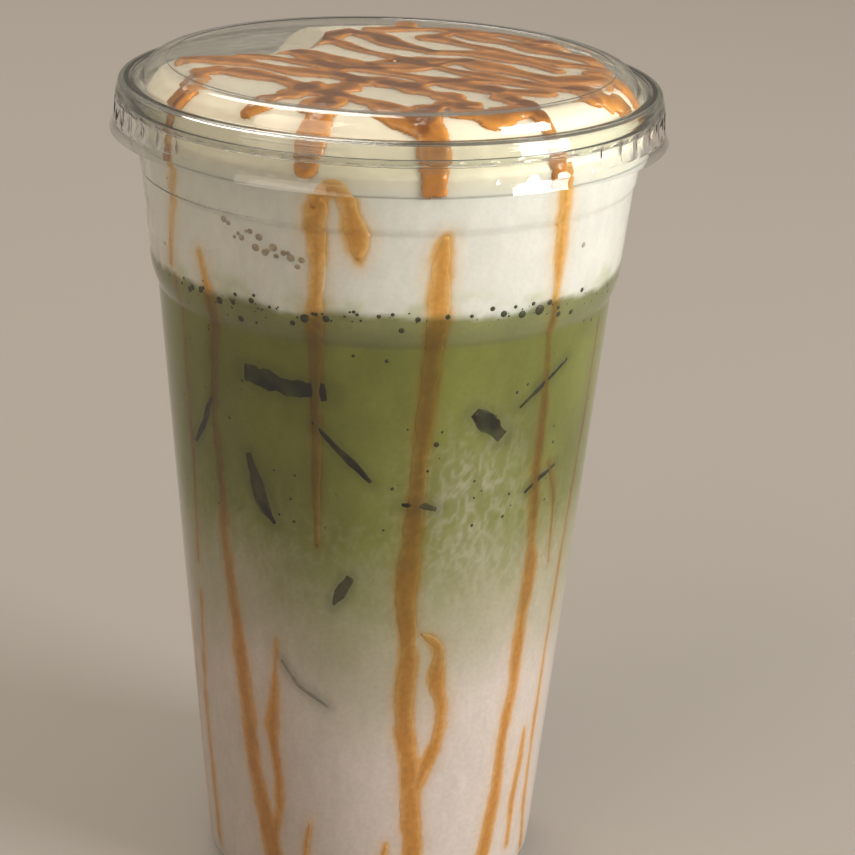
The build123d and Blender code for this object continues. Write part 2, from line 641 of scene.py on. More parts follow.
# Caramel down the wall: angle from the front, height and width in millimetres.
STREAKS = (
    ((-47, 131, 1.2), (-44, 122, 2.2), (-47, 103, 1.6), (-46, 83, 1.8), (-46, 74, 2.0), (-43, 55, 3.6),
     (-42, 47, 4.4), (-40, 30, 4.4), (-36, 18, 5.0), (-33, 10, 5.4), (-32, 3, 5.0)),
    ((-29, 58, 0.7), (-30, 48, 1.2), (-32, 38, 3.4), (-31, 33, 1.8), (-30, 27, 2.4), (-30, 22, 2.8),
     (-33, 12, 2.0)),
    ((-58, 124, 0.8), (-59, 100, 1.2), (-59, 90, 1.0), (-62, 67, 0.8)),
    ((-62, 60, 1.0), (-66, 36, 2.2), (-65, 18, 2.4), (-64, 5, 2.6)),
    ((-56, 150, 2.0), (-57, 142, 2.6), (-59, 132, 1.8), (-60, 126, 1.0)),
    ((-15.5, 143, 3.0), (-13, 147.6, 3.6), (-9.5, 147, 3.6), (-7, 142, 2.8), (-6, 138, 4.6), (-6, 136, 3.4),
     (-6, 134.4, 1.6)),
    ((-14, 145, 2.8), (-15.5, 140, 3.4), (-15, 133, 3.0), (-16, 119, 2.6), (-16, 104, 2.0), (-16, 88, 1.6),
     (-16, 79, 1.0)),
    ((13, 139, 1.4), (12, 135, 3.2), (12, 128, 3.6), (12, 122, 3.8), (11, 109, 3.6), (10, 95, 3.2),
     (9, 83, 3.8), (8, 69, 4.6), (10, 59, 3.6), (9, 48, 4.6), (10, 40, 3.8), (12, 35, 4.2), (13, 24, 4.6),
     (15, 13, 5.0), (16, 3, 4.6)),
    ((13, 62, 1.0), (19, 59, 2.4), (18, 52, 3.6), (21, 45, 3.2), (20, 38, 2.6), (17, 33, 3.0), (13, 26, 2.4)),
    ((41, 150, 2.6), (41, 145, 2.4), (42, 136, 2.8), (42.5, 128, 1.6), (43, 122, 1.2), (45, 105, 1.6),
     (45, 91, 2.4), (47, 77, 2.6), (48, 70, 4.0), (47, 62, 3.4), (47, 45, 3.2), (45, 34, 3.4), (45, 23, 3.8),
     (43, 10, 4.2), (42, 3, 4.4)),
    ((50, 92, 0.7), (55, 84, 0.9), (57, 70, 0.8)),
    ((68, 116, 0.9), (68, 100, 1.2), (66, 80, 1.4), (64, 52, 1.3), (64, 29, 1.6), (65, 15, 2.2),
     (70, 3, 2.6)),
    ((57, 34, 1.0), (57, 26, 2.8), (55, 18, 2.2), (56, 8, 1.6)),
    ((6, 16, 1.0), (4, 9, 2.6), (5, 3, 2.2)),
    ((-19, 20, 0.8), (-21, 12, 1.2), (-20, 6, 0.8)),
)
# The same on the far side: angle, top, bottom and width.
FAR_STREAKS = (
    (88, 128, 4, 2.8), (106, 62, 3, 3.6), (124, 147, 30, 3.2), (141, 118, 58, 1.6), (158, 92, 3, 4.0),
    (181, 140, 76, 3.0), (196, 70, 3, 3.4), (214, 124, 22, 2.0), (232, 147, 92, 2.6), (250, 84, 3, 3.8),
    (272, 132, 40, 2.2), (286, 52, 3, 2.6),
)


def far_path(angle, top, bottom, width):
    """A wandering streak of caramel between two heights."""
    heights = np.linspace(top, bottom, 9)
    sway = 2.2 * np.sin(heights / 17 + angle) + 1.1 * np.sin(heights / 6.1 + 2 * angle)
    widths = width * (0.75 + 0.3 * np.sin(heights / 9 + angle))
    widths[0] = widths[0] * 0.4
    return tuple(zip(angle + sway, heights, widths))


def flowing(path, spacing=0.8):
    """A path of angle, height and width with even spacing in millimetres and softened corners."""
    path = np.array(path, float)
    steps = np.hypot(np.diff(path[:, 0]) * MM_PER_DEGREE, np.diff(path[:, 1]))
    s = np.concatenate([[0], np.cumsum(steps)])
    even = np.linspace(0, s[-1], max(5, int(s[-1] / spacing)))
    out = np.stack([np.interp(even, s, path[:, k]) for k in range(path.shape[1])], axis=1)
    for _ in range(5):
        out[1:-1] = (out[:-2] + 2 * out[1:-1] + out[2:]) / 4
    return out


ALL_STREAKS = [flowing(path) for path in STREAKS] + [flowing(far_path(*far)) for far in FAR_STREAKS]

# Faces of ice seen through the drink: angle, height and width along each, from end to end.
ICE = (
    ((-35.5, 110.3, 3.4), (-30, 110.1, 4.6), (-24, 109.4, 3.8), (-18, 109.0, 3.6), (-13.5, 109.4, 4.2)),
    ((23.5, 105.6, 2.4), (27, 103.4, 4.2), (32, 100.0, 3.2)),
    ((-17, 103.4, 0.8), (-12, 99.8, 1.3), (-6, 95.6, 1.6), (-2, 92.8, 0.9)),
    ((-35.5, 94.8, 1.6), (-33.5, 89, 3.6), (-31, 84.5, 2.8), (-28, 82, 0.8)),
    ((-11.5, 67.6, 0.8), (-9.5, 70.4, 3.0), (-7, 73.6, 2.0)),
    ((-27.5, 54, 0.8), (-22, 49.5, 1.3), (-13, 46, 0.9)),
    ((-57, 92.6, 0.9), (-52, 97, 1.8), (-48, 103, 1.0)),
    ((36.5, 105, 0.7), (44, 108.6, 1.2), (52, 112, 0.7)),
    ((41.5, 87.4, 0.7), (47, 89.6, 1.4), (53, 91, 0.7)),
    ((6, 88.4, 0.8), (11, 88.2, 1.8), (15, 87.2, 0.9)),
    ((98, 112, 3.0), (106, 110.5, 4.4), (116, 110, 3.6)),
    ((132, 98, 0.9), (139, 93, 2.2), (147, 90, 1.0)),
    ((166, 106, 2.6), (171, 101, 4.2), (175, 96, 2.4)),
    ((203, 112, 1.0), (211, 108, 1.8), (221, 106, 1.2)),
    ((238, 96, 2.2), (241, 90, 4.0), (246, 85, 2.2)),
    ((264, 108, 3.2), (272, 108.5, 4.0), (279, 107, 2.6)),
    ((118, 72, 1.0), (123, 75, 2.4), (127, 78, 1.2)),
    ((188, 64, 0.8), (195, 60, 1.3), (204, 57, 0.8)),
    ((252, 66, 0.8), (257, 70, 2.6), (261, 73, 1.4)),
)
ALL_ICE = [flowing(path, 0.5) for path in ICE]
ICE_SEED = 53


def closeness(paths, points, seed):
    """How deep in millimetres each point of the drink's side lies in the given bands: over 0 is inside."""
    far_off = -99.0
    margin_deg, margin_mm = 14, 7  # only points this near a band are measured
    angle, _ = polar(points)
    z = points[:, 2]
    wobble = 0.7 * layered(points, (2.6, 2.6, 4.0), seed)
    best = np.full(len(points), far_off)
    for path in paths:
        middle = path[:, 0].mean()
        from_middle = (angle - middle + 180) % 360 - 180
        beside = np.abs(from_middle) < np.ptp(path[:, 0]) / 2 + margin_deg
        level = (z > path[:, 1].min() - margin_mm) & (z < path[:, 1].max() + margin_mm)
        near = np.nonzero(beside & level)[0]
        if not len(near):
            continue
        across = (from_middle[near][:, None] + middle - path[:, 0]) * MM_PER_DEGREE
        away = np.hypot(across, z[near][:, None] - path[:, 1])
        depth = (path[:, 2] / 2 - away).max(axis=1)
        best[near] = np.maximum(best[near], depth)
    return best + wobble * (best > -6)


# What a film of caramel lets through of red, green and blue light.
THIN_FILM = np.array([0.97, 0.61, 0.22])
THICK_FILM = np.array([0.80, 0.42, 0.09])


def drink_colour(points, settings):
    """Broad colours of milk, matcha and foam by place, dimmed by ice and stained by caramel."""
    z = points[:, 2]
    milk, matcha = np.array(settings.milk), np.array(settings.matcha)
    deep, foam = np.array(settings.matcha_deep), np.array(settings.foam)
    # Milk goes over into green, which is cloudy and deepens with height.
    cloudy = layered(points, (14, 14, 18), 31)
    green = mixed(matcha, deep, smooth(-0.6, 0.7, cloudy) * smooth(62, 96, z))
    colour = mixed(milk[None, :], green, green_share(points))
    # The foam starts at a wavy border, is stained just over it and pales the shoulder's green.
    wavy = MATCHA_TOP + 1.1 + 1.2 * layered(points, (8, 8, 4), 41) + 0.5 * layered(points, (2, 2, 2), 43)
    topping = smooth(-0.8, 0.8, z - wavy)
    band = smooth(STEP_LOW - 1, STEP_LOW + 1.5, z)
    colour = mixed(colour, foam[None, :], 0.10 * band * (1 - topping))
    stain = np.exp(-(((z - wavy - 1.2) / 2.2) ** 2)) * smooth(-0.2, 0.6, layered(points, (5, 5, 3), 47))
    stained_foam = foam[None, :] * (1 - 0.22 * stain[:, None] * np.array([1.0, 0.8, 1.6]))
    colour = mixed(colour, stained_foam, topping)
    colour = colour * (1 + 0.07 * layered(points, (1.6, 1.6, 4.0), 49))[:, None]
    # A shadow lies round the ice.
    dim = 0.22 * smooth(-2.2, 0.2, closeness(ALL_ICE, points, ICE_SEED)) * (1 - topping)
    colour = colour * (1 - dim[:, None])
    # The caramel is a film over the drink, with a weak halo beyond its edge.
    depth = closeness(ALL_STREAKS, points, 59)
    halo = 0.22 * smooth(-3.0, 0.0, depth) + 0.78 * smooth(-0.6, 0.3, depth)
    thickness = smooth(0.1, 1.5, depth + 0.6 * layered(points, (2, 2, 5), 63))
    film = mixed(THIN_FILM[None, :], THICK_FILM[None, :], thickness)
    return colour * mixed(np.ones(3)[None, :], film, halo)


def drink_grid(low, high, spacing, columns):
    """Heights and radii of the rings of the drink's side from low to high."""
    hold = 0.02  # rings this close to both ends keep the side's shading even
    heights = np.linspace(low + hold, high - hold, max(2, int((high - low) / spacing)))
    heights = np.concatenate([[low], heights, [high]])
    around = np.degrees(angles(columns))[None, :]
    return heights, drink_r(heights)[:, None] - pull_in(around, heights[:, None])


def milk_foot():
    """Outline of the milk's foot over the pushed-up base, from the axis to the wall."""
    floor_z = 0.32
    foot = drink_r(0.0) - FOOT_ROUND
    corners = [
        (0.3, MILK_LOW[2] + PUNT),
        (foot - 5, MILK_LOW[2] + PUNT),
        (foot - 2.2, floor_z),
        (foot + 2.0, floor_z),
        (drink_r(6.0), 6.0),
    ]
    return rounded(corners, [1.0, 0.6, 1.8], steps=5)


class LATTE_OT_drink(bpy.types.Operator):
    """Builds the milk and the matcha, which blend into each other."""

    bl_idname = "latte.drink"
    bl_label = "Milk and matcha"

    def execute(self, context):
        settings = context.scene.latte_drink
        columns = settings.columns
        # Stirred milk and fine powder give the eye one soft colour with a faint grain and
        # hardly a glint, as the wall over it has the gloss.
        material = painted_food("Matcha and milk, cloudy", 0.45, 0.9, 0.05, 0.02, specular=0.15)
        heights, radius = drink_grid(6.4, MILK_TOP, 0.55, columns)
        foot = milk_foot()
        foot_grid = turned(foot[:, 0], foot[:, 1], columns)
        points, faces = closed_lathe(np.concatenate([foot_grid, turned(radius, heights, columns)]))
        colours = drink_colour(points, settings)
        new_piece("milk_layer", points, faces, material, "milk", colours, 2 * columns)
        heights, radius = drink_grid(MILK_TOP, MATCHA_TOP, 0.5, columns)
        points, faces = closed_lathe(turned(radius, heights, columns))
        colours = drink_colour(points, settings)
        new_piece("matcha_layer", points, faces, material, "matcha", colours, 2 * columns)
        return {"FINISHED"}


class LATTE_OT_foam(bpy.types.Operator):
    """Builds the white milk foam over the matcha."""

    bl_idname = "latte.foam"
    bl_label = "Milk foam"

    def execute(self, context):
        settings = context.scene.latte_drink
        columns = settings.columns
        # Whipped milk gives the eye an even, matt white that light sinks into a little; its
        # bubbles are too fine to show, so their grain is drawn as coarse as it needs to show.
        material = painted_food(
            "Milk foam, fine bubbles", 0.6, 0.8, 0.03, 0.05, specular=0.2, soft=0.3, soft_mm=3.0
        )
        heights, radius = drink_grid(MATCHA_TOP, FOAM_TOP, 0.6, columns)
        points, faces = closed_lathe(turned(radius, heights, columns))
        colours = drink_colour(points, settings)
        new_piece("milk_foam_layer", points, faces, material, "milk_foam", colours, 2 * columns)
        return {"FINISHED"}


# ---------------------------------------------------------------- cream and its surface
def cream_section():
    """The mound's outline from the axis to the wall, and each point's distance along it."""
    wall_z = 149.0  # the cream meets the wall here
    corners = [
        (0, CREAM_TOP),
        (36, CREAM_TOP),
        (39, CREAM_TOP - 0.7),
        (41.5, CREAM_TOP - 1.9),
        (43.4, CREAM_TOP - 3.7),
        (44.6, CREAM_TOP - 5.8),
        (float(drink_r(wall_z)), wall_z),
        (float(drink_r(FOAM_TOP)), FOAM_TOP),
    ]
    path = resampled(np.array(corners, float), 0.5)
    steps = np.linalg.norm(np.diff(path, axis=0), axis=1)
    return np.concatenate([[0], np.cumsum(steps)]), path


CREAM_S, CREAM_PATH = cream_section()
CREAM_NORMALS = normals_of(CREAM_PATH)


def sink(plan):
    """How far the cream lies below the lid on its sunk side, by plan position."""
    deepest, bowl_r = 9.0, 20.5
    away = np.hypot(plan[:, 0] + 33, plan[:, 1] - 22)
    bowl = np.clip(1 - (away / bowl_r) ** 2, 0, 1)
    return deepest * bowl**0.8


def on_cream(plan):
    """Surface points and outward normals for plan positions unrolled from the axis."""
    s = np.hypot(plan[:, 0], plan[:, 1])
    turn = plan / np.maximum(s, 1e-6)[:, None]
    r = np.interp(s, CREAM_S, CREAM_PATH[:, 0])
    z = np.interp(s, CREAM_S, CREAM_PATH[:, 1])
    nr = np.interp(s, CREAM_S, CREAM_NORMALS[:, 0])
    nz = np.interp(s, CREAM_S, CREAM_NORMALS[:, 1])
    points = np.stack([turn[:, 0] * r, turn[:, 1] * r, z], axis=1)
    out = np.stack([turn[:, 0] * nr, turn[:, 1] * nr, nz], axis=1)
    # Lumps show only where the cream is free: between the lid and the wall, and where it is sunk.
    lumps = 0.35 * layered(points, (9, 9, 9), 51) + 0.25 * layered(points, (3.5, 3.5, 7), 57)
    free = smooth(33, 41, s) * (1 - smooth(48, 51, s)) + smooth(0.5, 3, sink(plan))
    points = points + out * (np.minimum(lumps, 0.1) * np.clip(free, 0, 1))[:, None]
    points[:, 2] -= sink(plan) * (1 - smooth(45, 50, s))
    clear = pull_in(np.degrees(np.arctan2(plan[:, 0], -plan[:, 1])), points[:, 2]) * smooth(38, 42, r)
    points[:, :2] *= (1 - clear / np.maximum(r, 1))[:, None]
    return points, out


class LATTE_OT_cream(bpy.types.Operator):
    """Builds the mound of cream pressed against the lid."""

    bl_idname = "latte.cream"
    bl_label = "Cream"

    def execute(self, context):
        settings = context.scene.latte_drink
        columns = settings.cream_columns
        reach = np.concatenate([np.linspace(0.4, 30, 44), np.linspace(30.6, CREAM_S[-1], 46)])
        a = angles(columns)
        plan = np.stack([reach[:, None] * np.sin(a), -reach[:, None] * np.cos(a)], axis=2).reshape(-1, 2)
        points, _ = on_cream(plan)
        grid = points.reshape(len(reach), columns, 3)
        points, faces = closed_lathe(grid[::-1])
        z = points[:, 2]
        cream, foam = np.array(settings.cream), np.array(settings.foam)
        share = smooth(FOAM_TOP - 1, FOAM_TOP + 5, z + 1.5 * layered(points, (10, 10, 5), 61))
        colours = mixed(foam[None, :], cream[None, :], share)
        # Fat and air give the eye a warm, dull white with soft lumps that glows a little in shade.
        material = painted_food(
            "Whipped cream, soft", 0.55, 1.4, 0.02, 0.08, specular=0.3, soft=0.35, soft_mm=3.0
        )
        new_piece("cream_mound", points, faces, material, "cream", colours)
        return {"FINISHED"}


# ---------------------------------------------------------------- caramel
def distance_to(path, points):
    """Distance of each point to a path, and the share of the path's length at the nearest place."""
    best = np.full(len(points), 1e9)
    along = np.zeros(len(points))
    lengths = np.linalg.norm(np.diff(path, axis=0), axis=1)
    total, done = lengths.sum(), 0.0
    for a, b, length in zip(path, path[1:], lengths):
        t = np.clip(((points - a) @ (b - a)) / length**2, 0, 1)
        d = np.linalg.norm(points - (a + t[:, None] * (b - a)), axis=1)
        nearer = d < best
        best = np.where(nearer, d, best)
        along = np.where(nearer, (done + t * length) / total, along)
        done += length
    return best, along


# Strands on the cream: width in millimetres, then points seen from above, with
# distances beyond the mound's top measured down its side.
STRANDS = (
    (4.0, (-38, -3), (-29, -2), (-20, -8), (-10, -12), (-2, -15), (3, -19)),
    (3.6, (-28, 5), (-21, 10), (-15, 17), (-9, 26), (-3, 26), (1, 16), (7, 11)),
    (3.6, (-20, 17), (-14, 22), (-8, 29), (-1, 20), (7, 11), (15, 11), (24, 5), (30, -2)),
    (3.8, (7, 24), (12, 30), (19, 24), (28, 16), (37, 8)),
    (4.4, (-23, 9), (-14, 6), (-8, -2), (0, -9), (9, -14), (17, -20), (26, -21)),
    (4.8, (-3, -2), (6, 3), (13, 4), (21, -4), (29, -10), (37, -8)),
    (4.2, (-28, -11), (-20, -16), (-13, -25), (-8, -28), (-2, -33), (1, -38), (5, -42)),
    (4.0, (-31, -9), (-34, -17), (-36, -20), (-38, -23)),
    (3.4, (-13, -19), (-17, -28), (-21, -31), (-24, -34)),
    (4.6, (-7, -17), (-10, -27), (-12, -34)),
    (3.8, (-1, -18), (3, -21), (9, -25), (13, -32)),
    (3.6, (5, -39), (9, -32), (12, -35), (17, -36), (22, -32)),
    (3.6, (17, -19), (21, -28), (25, -32)),
    (4.2, (32, -16), (38, -16), (43, -13)),
    (3.4, (-17, 6), (-11, -6), (-5, -18)),
    (3.0, (9, 23), (20, 13), (31, 4), (39, 1)),
    (2.8, (-4, 31), (8, 33), (20, 30), (31, 21)),
    (3.0, (3, -18), (14, -12), (26, -15), (35, -19)),
    (2.8, (-12, 19), (-3, 8), (5, 0), (14, -7), (24, -13)),
    (3.0, (-27, 3), (-18, -1), (-8, -6), (4, -4), (14, 4)),
)
# Drips down the side of the mound: angle, start and end of the run, width.
DRIPS = (
    (-17, 34, 49.0, 5.6), (9.5, 36, 54.5, 5.8), (38, 34, 56, 3.6), (-57, 40, 57, 1.8),
    (85, 36, 51, 3.8), (128, 34, 50, 4.4), (176, 34, 48, 4.6), (-128, 41, 52, 3.0),
)


def caramel_depth(plan, height):
    """Thickness of caramel at plan positions, with strands that run into each other."""
    flat = np.concatenate([plan, np.zeros((len(plan), 1))], axis=1)
    shift = np.stack([layered(flat, 6.0, 71), layered(flat, 6.0, 77)], axis=1)
    moved = plan + 0.9 * shift
    total = np.zeros(len(plan))
    for width, *corners in STRANDS:
        d, along = distance_to(np.array(corners, float), moved)
        half = 0.64 * width * (1 + 0.3 * np.sin(along * 17 + width * 9))
        total = total + np.clip(1 - (d / half) ** 2, 0, 1) ** 1.2
    for angle, start, end, width in DRIPS:
        turn = math.radians(angle)
        way = np.array([math.sin(turn), -math.cos(turn)])
        d, along = distance_to(np.array([way * start, way * end]), plan + 0.35 * shift)
        half = width / 2 * (1 + 0.12 * np.sin(along * 9 + angle))
        total = total + 0.8 * np.clip(1 - (d / half) ** 3, 0, 1)
    return height * np.minimum(total, 1.6) ** 0.6


class LATTE_OT_caramel(bpy.types.Operator):
    """Pours the caramel over the cream."""

    bl_idname = "latte.caramel"
    bl_label = "Caramel on the cream"

    def execute(self, context):
        settings = context.scene.latte_caramel
        step = 0.38  # side of a square cell of the caramel's mesh
        reach = 57.0  # as far from the axis as the longest drip
        thinnest = 0.12
        below = 0.25  # how far the caramel's underside lies in the cream
        axis = np.arange(-reach, reach + step, step)
        plan = np.stack(np.meshgrid(axis, axis, indexing="ij"), axis=2).reshape(-1, 2)
        depth = caramel_depth(plan, settings.height)
        s = np.hypot(plan[:, 0], plan[:, 1])
        depth[s > CREAM_S[-1] - 0.3] = 0
        side = len(axis)
        solid = (depth > thinnest).reshape(side, side)
        cell = solid[:-1, :-1] & solid[1:, :-1] & solid[:-1, 1:] & solid[1:, 1:]
        i, j = np.nonzero(cell)
        first = i * side + j
        corner = np.stack([first, first + side, first + side + 1, first + 1], axis=1)
        used, index = np.unique(corner, return_inverse=True)
        faces = index.reshape(corner.shape)
        base, out = on_cream(plan[used])
        under_lid = smooth(35, 39, s[used])
        lift = np.minimum(depth[used], 0.75 + 0.35 * under_lid + 0.6 * sink(plan[used]))
        top = base + out * lift[:, None]
        bottom = base - out * below
        count = len(used)
        edges = {}
        for quad in faces.tolist():
            for a, b in zip(quad, quad[1:] + quad[:1]):
                edges[(a, b)] = edges.get((a, b), 0) + 1
        rim = [(a, b) for a, b in edges if (b, a) not in edges]
        all_faces = faces.tolist()
        all_faces += [[a + count for a in reversed(quad)] for quad in faces.tolist()]
        all_faces += [[b, a, a + count, b + count] for a, b in rim]
        points = np.concatenate([top, bottom])
        thickness = np.concatenate([depth[used], depth[used]]) / settings.height
        darkness = smooth(0.45, 1.3, thickness + 0.25 * layered(points, (4, 4, 4), 83))
        colours = mixed(np.array(settings.thin)[None, :], np.array(settings.thick)[None, :], darkness)
        # Poured sugar syrup gives the eye deep amber with wet glints broken by its ripples.
        material = painted_food("Caramel, sticky and glossy", 0.12, 1.9, 0.14, 0.5, specular=0.6)
        new_piece("caramel_on_cream", points, all_faces, material, colours=colours)
        return {"FINISHED"}


# ---------------------------------------------------------------- on the drink's side
def ribbon(path, height, blunt=False):
    """A low closed band along a path of angle, height and width on the drink's side."""
    along = np.gradient(path[:, :2] * np.array([MM_PER_DEGREE, 1]), axis=0)
    along /= np.maximum(np.linalg.norm(along, axis=1), 1e-6)[:, None]
    ends = np.minimum(np.arange(len(path)), np.arange(len(path))[::-1]) / 2.5
    taper = np.ones(len(path)) if blunt else np.sqrt(1 - (1 - np.clip(ends, 0.15, 1)) ** 2)
    # The section: nine points over a low arch with its edges just in the drink, two deeper in.
    edge_in, back_in = 0.06, 0.4
    arch = np.linspace(-1, 1, 9)
    t = np.concatenate([arch, [0.9, -0.9]])
    lift = np.concatenate([height * (1 - arch**2) ** 0.6 - edge_in, [-back_in, -back_in]])
    place = np.stack([path[:, 0], path[:, 1], np.zeros(len(path))], axis=1)
    left, right = 0.42 * layered(place, 2.6, 101), 0.42 * layered(place, 2.6, 103)
    half = path[:, 2][:, None] / 2 * taper[:, None] * (1 + np.where(t < 0, left[:, None], right[:, None]))
    angle = np.radians(path[:, 0][:, None] + along[:, 1][:, None] * t * half / MM_PER_DEGREE)
    z = path[:, 1][:, None] - along[:, 0][:, None] * t * half
    r = drink_r(z) - pull_in(np.degrees(angle), z) + lift
    return closed_lathe(np.stack([r * np.sin(angle), -r * np.cos(angle), z], axis=2))


def dome(angle, z, size, height):
    """A small round blister on the drink's side."""
    around = angles(12)
    rings = []
    for share, lift in ((1.0, -0.3), (1.0, 0.0), (0.7, 0.7 * height), (0.3, 0.97 * height)):
        turn = np.radians(angle + size * share * np.cos(around) / MM_PER_DEGREE)
        level = z + size * share * np.sin(around)
        r = drink_r(level) - pull_in(np.degrees(turn), level) + lift
        rings.append(np.stack([r * np.sin(turn), -r * np.cos(turn), level], axis=1))
    return closed_lathe(np.array(rings))


def joined(parts):
    """Points and faces of many small closed meshes as one."""
    points, faces, start = [], [], 0
    for part_points, part_faces in parts:
        points.append(part_points)
        faces += [[i + start for i in face] for face in part_faces]
        start += len(part_points)
    return np.concatenate(points), faces


class LATTE_OT_streaks(bpy.types.Operator):
    """Runs the caramel down the inside of the wall."""

    bl_idname = "latte.streaks"
    bl_label = "Caramel on the wall"

    def execute(self, context):
        thickness = 0.16
        points, faces = joined([ribbon(path, thickness) for path in ALL_STREAKS])
        colours = drink_colour(points, context.scene.latte_drink)
        # A wet film of syrup gives the eye amber that the drink shows through, with small soft glints.
        material = painted_food("Caramel film, wet", 0.22, 1.0, 0.1, 0.05, specular=0.25)
        new_piece("caramel_streaks", points, faces, material, colours=colours)
        return {"FINISHED"}


class LATTE_OT_ice(bpy.types.Operator):
    """Sets faces of ice against the wall."""

    bl_idname = "latte.ice"
    bl_label = "Ice"

    def execute(self, context):
        settings = context.scene.latte_drink
        thickness = 0.14
        points, faces = joined([ribbon(path, thickness, blunt=True) for path in ALL_ICE])
        under = drink_colour(points, settings)
        edge = smooth(-0.4, 0.3, closeness(ALL_ICE, points, ICE_SEED))
        patchy = smooth(-0.5, 0.6, layered(points, (4, 4, 4), 107))
        # Painted shade: the faces take the dark of the drink's unlit depth, less of it in the milk and at
        # their edges.
        dark = mixed(np.array(settings.ice)[None, :], under * 0.35, patchy)
        in_milk = 1 - smooth(54, 64, points[:, 2])
        dark = mixed(dark, under * 0.6, in_milk)
        colours = mixed(under * 0.8, dark, edge)
        # Clear frozen water at the wall gives the eye a dark window into the drink, with soft edges; the dark
        # is painted shade, the unlit depth of the drink seen through the ice.
        material = painted_food("Ice behind a green film, painted depth shade", 0.2, 2.0, 0.12, 0.1, specular=0.2)
        new_piece("ice_faces", points, faces, material, colours=colours)
        return {"FINISHED"}


# Specks placed one by one on the drink's side: angle, height and radius.
SPECKS = (
    (25, 125.2, 0.45), (28, 124, 0.6), (31, 125, 0.35), (33, 123.4, 0.7), (36, 125, 0.4), (38, 123.6, 0.95),
    (41, 124.6, 0.55), (44, 123.2, 0.4), (20, 124.2, 0.35), (11, 88, 0.5), (-18, 123, 0.8), (-13, 123.4, 0.6),
    (-41, 123, 0.7), (-35, 120.6, 0.6), (4, 122, 0.5), (1, 116, 0.4), (14, 100, 0.5),
)


def scattered_specks(rng):
    """Specks along the foam's border, loose ones in the green, and more on the border's left front."""
    border = [
        (rng.uniform(0, 360), MATCHA_TOP + rng.normal(0, 1.1), 0.12 + 0.42 * rng.random() ** 3)
        for _ in range(150)
    ]
    loose = [(rng.uniform(0, 360), rng.uniform(82, 121), rng.uniform(0.12, 0.34)) for _ in range(190)]
    fringe = [
        (rng.uniform(-52, -2), MATCHA_TOP + 0.6 + rng.normal(0, 0.6), 0.15 + 0.45 * rng.random() ** 3)
        for _ in range(26)
    ]
    return border + loose + fringe


def foam_pits(rng):
    """Burst bubbles: a row that sinks to the right on the front, and single ones round the back."""
    row = [
        (
            -38 + k * 1.15 + rng.uniform(-0.4, 0.4),
            137.2 - k * 0.23 + rng.uniform(-1.4, 1.4),
            rng.uniform(0.3, 0.75),
        )
        for k in range(18)
    ]
    return row + [(rng.uniform(50, 300), rng.uniform(128, 143), rng.uniform(0.2, 0.5)) for _ in range(26)]


def blisters(spots, height, tint, grain_mm, contrast, seed):
    """Points, faces and colours of a blister at each spot."""
    points, faces = joined([dome(angle, z, size, height) for angle, z, size in spots])
    uneven = 1 + contrast * layered(points, (grain_mm, grain_mm, grain_mm), seed)
    return points, faces, np.array(tint)[None, :] * uneven[:, None]


class LATTE_OT_flecks(bpy.types.Operator):
    """Scatters flecks of matcha in the drink and burst bubbles in the foam."""

    bl_idname = "latte.flecks"
    bl_label = "Bubbles and flecks"

    def execute(self, context):
        settings = context.scene.latte_drink
        rng = np.random.default_rng(7)
        spots = list(SPECKS) + scattered_specks(rng)
        points, faces, colours = blisters(spots, 0.12, settings.fleck, 2, 0.4, 109)
        # Clumps of wet powder give the eye crisp dark green dots with a small glint.
        material = painted_food("Matcha powder, wet specks", 0.3, 1.0, 0.2, 0.03, specular=0.4)
        new_piece("matcha_flecks", points, faces, material, colours=colours)
        points, faces, colours = blisters(foam_pits(rng), 0.06, settings.pit_shade, 1.5, 0.35, 113)
        # Open bubbles give the eye dull brown dots where the white is broken; the brown is painted shade in
        # their hollows.
        material = painted_food("Burst bubbles in foam, painted shade", 0.6, 0.6, 0.2, 0.05)
        new_piece("foam_pits", points, faces, material, colours=colours)
        return {"FINISHED"}


